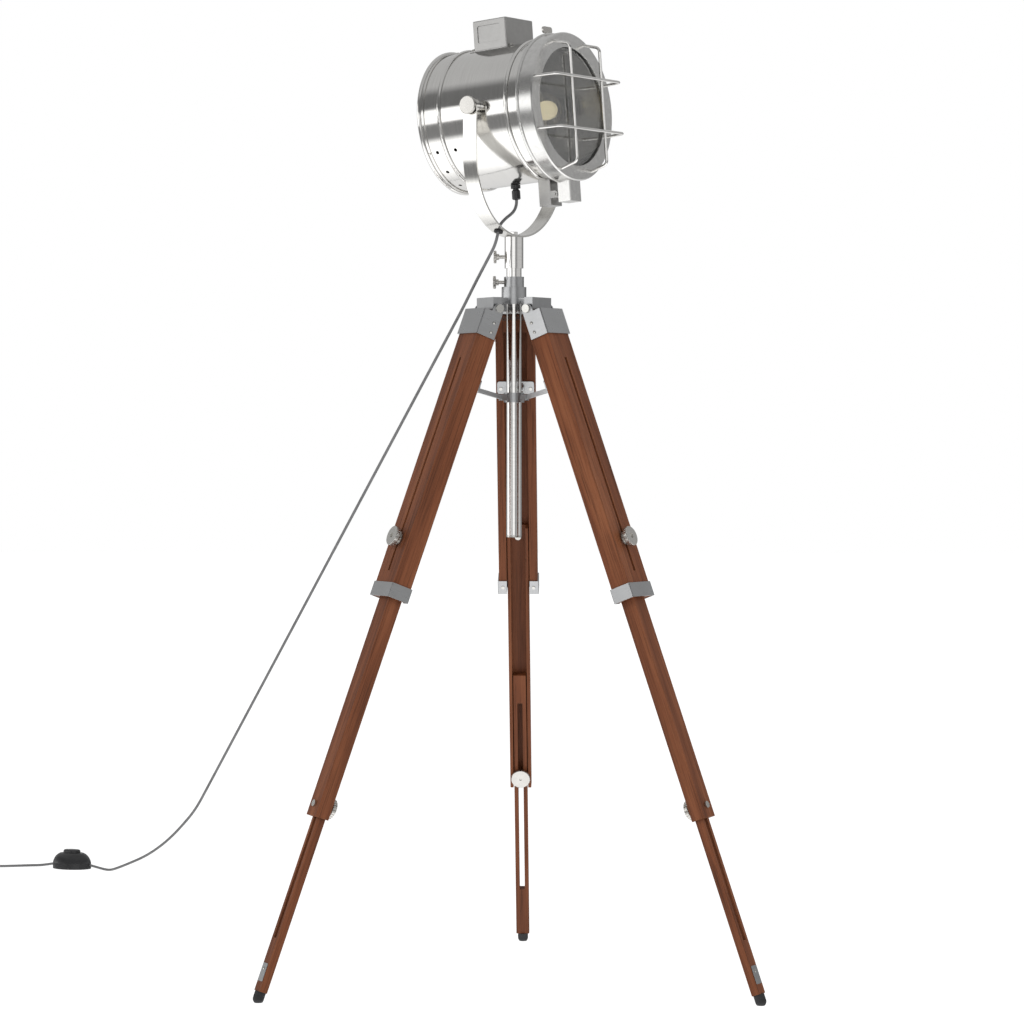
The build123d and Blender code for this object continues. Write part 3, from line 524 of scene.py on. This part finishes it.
def plate(name, x, y, z, matrix, corner=0.002, bevel=0.0004):
    """Thin plate with rounded corners in the YZ plane and softened edges."""
    bm = bmesh.new()
    outline = []
    for cy, cz, first in ((y[1], z[1], 0), (y[0], z[1], 90), (y[0], z[0], 180), (y[1], z[0], 270)):
        sy, sz = (1 if cy == y[1] else -1), (1 if cz == z[1] else -1)
        for k in range(6):
            a = math.radians(first + k * 18)
            outline.append((cy - sy * corner + corner * math.cos(a), cz - sz * corner + corner * math.sin(a)))
    low = [bm.verts.new((x[0], a, b)) for a, b in outline]
    high = [bm.verts.new((x[1], a, b)) for a, b in outline]
    bm.faces.new(low)
    bm.faces.new(high)
    for k in range(len(outline)):
        j = (k + 1) % len(outline)
        bm.faces.new((low[k], low[j], high[j], high[k]))
    bmesh.ops.recalc_face_normals(bm, faces=bm.faces)
    bm.transform(matrix)
    piece = finish_mesh(name, bm, False)
    rounding = piece.modifiers.new("edges", "BEVEL")
    rounding.width, rounding.segments = bevel, 2
    return piece


def screw_head(name, place, matrix, radius=0.003, height=0.0012):
    """Domed screw head, standing out along the frame's X from place."""
    top = lathe(name, [(0, radius), (height * 0.5, radius * 0.96), (height * 0.85, radius * 0.7), (height, 0)],
                matrix @ Matrix.Translation(place), 24)
    return top


def add_foot_plates():
    """Metal tab with its screw on the outer face of each lower bar, just above the rubber boot."""
    for n in LEGS:
        tab = plate(f"foot_tab_{n}", (0.00502, 0.0062), (-0.0085, 0.0085), (-1.152, -1.122), LEG_FRAME[n])
        paint(tab, ALLOY)
        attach(tab, f"leg_{n}_end")
        head = screw_head(f"foot_tab_screw_{n}", (0.0062, 0, -1.131), LEG_FRAME[n], 0.0028)
        paint(head, SCREW)
        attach(head, f"leg_{n}_end")


def add_lamp_inside():
    """Warm glow inside the bulb's envelope, and the glass stem that carries it."""
    profile = []
    for k in range(25):
        a = math.pi * k / 24
        profile.append((0.064 - 0.019 * math.cos(a), 0.016 * math.sin(a)))
    glow = lathe("bulb_glow", profile, HEAD_FRAME, 40)
    paint(glow, glowing("warm_glow", (1.0, 0.86, 0.58), 0.8, 0.6))
    stem = lathe("bulb_stem", [(-0.002, 0), (-0.002, 0.007), (0.012, 0.005), (0.024, 0.0028), (0.030, 0.0022),
                               (0.031, 0)], HEAD_FRAME, 24)
    paint(stem, glass("stem_glass", (0.95, 0.95, 0.9), 0.05, 0.5))
    for piece in (glow, stem):
        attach(piece, "head")


add_foot_plates()
add_lamp_inside()


# ---- light and floor ------------------------------------------------------------------------
METAL_SKY, SOFT_SKY, SEEN_SKY = 2.0, 0.85, 1.0
FLOOR_SIZE, FLOOR_Z, FLOOR_GLOW, FLOOR_GLOW_SHARE = 40, -0.0004, 1.18, 0.84


def make_world():
    """White studio: bright to the camera, and banded like soft boxes and flags to the metal."""
    world = bpy.data.worlds.new("studio")
    bpy.context.scene.world = world
    world.use_nodes = True
    s = Shader(world.node_tree)
    direction = s.node("ShaderNodeTexCoord").outputs["Generated"]
    parts = s.node("ShaderNodeSeparateXYZ")
    s.link(direction, parts.inputs[0])
    x, y, z = parts.outputs
    up = s.math("ADD", s.math("MULTIPLY", z, 0.5), 0.5)
    across = s.math("ADD", s.math("MULTIPLY", x, 0.5), 0.5)
    left = s.ramp(up, [(0.0, 0.92), (0.235, 0.88), (0.30, 0.13), (0.455, 0.12), (0.47, 0.85), (0.61, 0.85),
                       (0.635, 0.08), (0.78, 0.09), (0.84, 0.27), (1.0, 0.25)])
    front = s.ramp(up, [(0.0, 0.78), (0.235, 0.72), (0.30, 0.22), (0.44, 0.25), (0.47, 0.56), (0.56, 0.58),
                        (0.60, 0.72), (0.615, 0.72), (0.65, 0.08), (0.78, 0.09), (0.84, 0.27), (1.0, 0.25)])
    back = s.ramp(up, [(0.0, 0.50), (0.30, 0.42), (0.48, 0.30), (0.6, 0.27), (0.85, 0.26), (1.0, 0.28)])
    front = s.mix(s.ramp(across, [(0.13, 0.0), (0.18, 1.0)]), left, front)
    behind = s.math("MULTIPLY_ADD", y, 4.0, True)
    behind.node.inputs[2].default_value = -1.0
    banded = s.mix(behind, front, back)
    side = s.ramp(across, [(0.0, 1.0), (0.16, 1.0), (0.2, 0.3), (0.30, 0.3), (0.35, 1.0), (0.60, 1.0), (0.68, 0.25),
                           (0.80, 0.3), (0.88, 0.52), (1.0, 0.52)])
    level = s.ramp(up, [(0.30, 0.0), (0.44, 1.0), (0.60, 1.0), (0.64, 0.0)])
    banded = s.mix(level, banded, s.mix(1.0, banded, side, "MULTIPLY"))
    path = s.node("ShaderNodeLightPath").outputs
    shades = []
    for colour, strength in ((banded, METAL_SKY), ((1, 1, 1, 1), SOFT_SKY), ((1, 1, 1, 1), SEEN_SKY)):
        shade = s.node("ShaderNodeBackground")
        s.put(shade.inputs[0], colour)
        shade.inputs[1].default_value = strength
        shades.append(shade)
    lit = s.blend(path["Is Glossy Ray"], shades[1], shades[0])
    s.finish(s.blend(path["Is Camera Ray"], lit, shades[2]), "ShaderNodeOutputWorld")


def add_light(name, place, target, size, power, colour=(1, 1, 1)):
    data = bpy.data.lights.new(name, "AREA")
    data.shape, data.size, data.size_y = "RECTANGLE", size[0], size[1]
    data.energy, data.color = power, colour
    light = bpy.data.objects.new(name, data)
    bpy.context.scene.collection.objects.link(light)
    light.location = place
    light.rotation_euler = (Vector(target) - Vector(place)).to_track_quat("-Z", "Y").to_euler()
    light.visible_glossy = False


def make_floor():
    """White floor that takes only a faint shadow."""
    bpy.ops.mesh.primitive_plane_add(size=FLOOR_SIZE, location=(0, 0, FLOOR_Z))
    floor = bpy.context.object
    floor.name = "floor"
    made, s = material("floor_white")
    lit = s.node("ShaderNodeBsdfDiffuse")
    lit.inputs[0].default_value = (0.9, 0.9, 0.9, 1)
    glow = s.node("ShaderNodeEmission")
    glow.inputs[1].default_value = FLOOR_GLOW
    s.finish(s.blend(FLOOR_GLOW_SHARE, lit, glow))
    paint(floor, made)
    floor.visible_glossy = False


make_world()
make_floor()
add_light("key", (-2.6, -3.4, 3.0), (0, 0, 0.9), (1.6, 1.6), 60)
add_light("fill", (3.0, -2.8, 1.6), (0, 0, 0.8), (1.8, 1.8), 26)
bpy.context.scene.view_settings.view_transform = "Standard"
